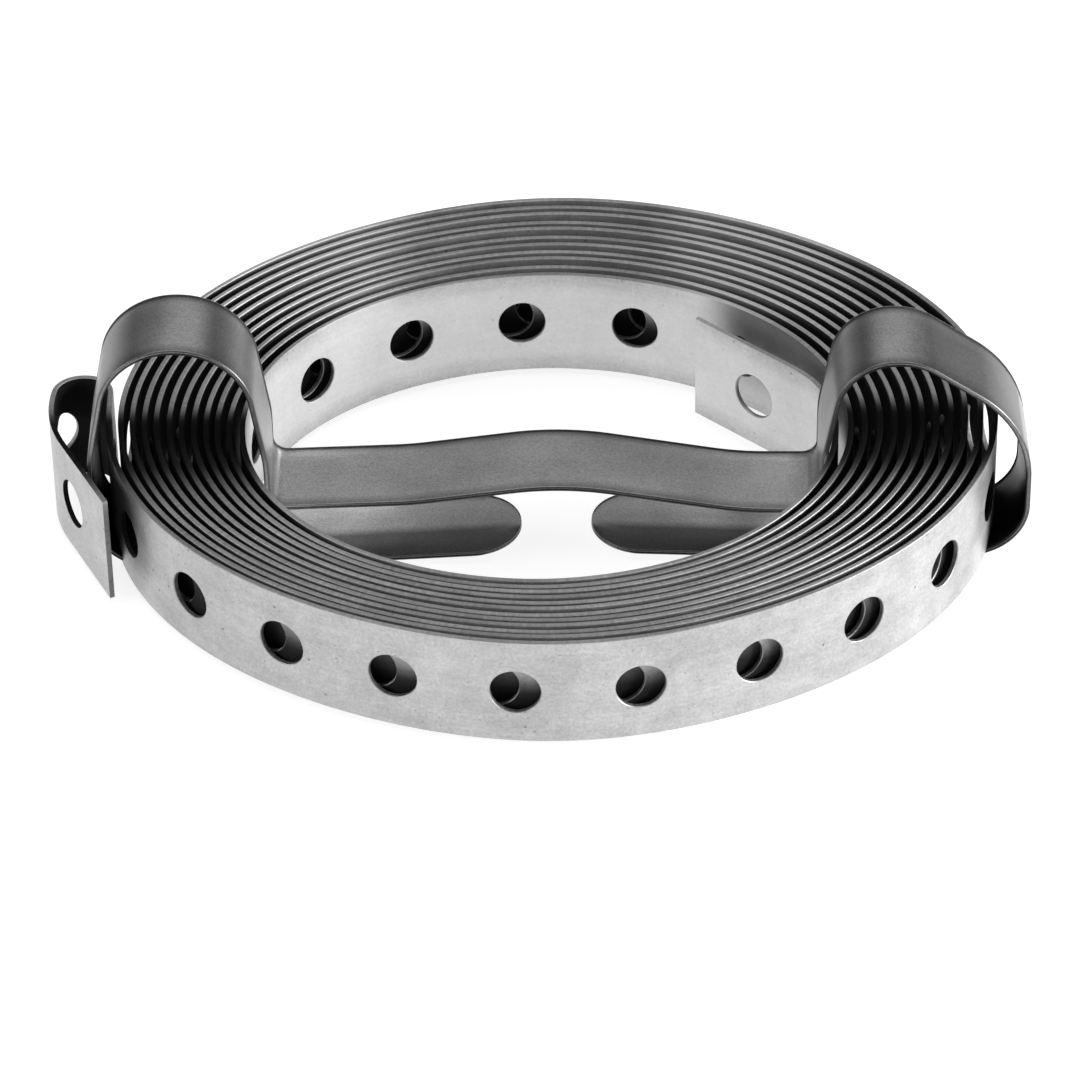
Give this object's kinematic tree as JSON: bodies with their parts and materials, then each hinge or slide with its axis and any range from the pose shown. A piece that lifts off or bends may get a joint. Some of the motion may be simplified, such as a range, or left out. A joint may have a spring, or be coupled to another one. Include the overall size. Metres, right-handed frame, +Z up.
{
  "type": "perforated steel strap coil",
  "caption": "Coil of narrow galvanised steel strap with round holes along its middle, held by a bent steel strip clip.",
  "frame": {"origin": "on the floor, below the middle of the whole object's box", "axes": "+X along the clip from the curled outer end, +Y to the back, where the loose inner end starts, +Z up along the coil's axis"},
  "size_m": [0.1396, 0.1084, 0.0378],
  "materials": {
    "galvanised_strap": "dull galvanised zinc with fine specks and bare sheared edges",
    "clip_steel": "smooth dark cold-rolled steel strip"
  },
  "bodies": {
    "root": {"perforated_strap": "galvanised_strap", "binding_clip": "clip_steel"}
  },
  "joints": []
}
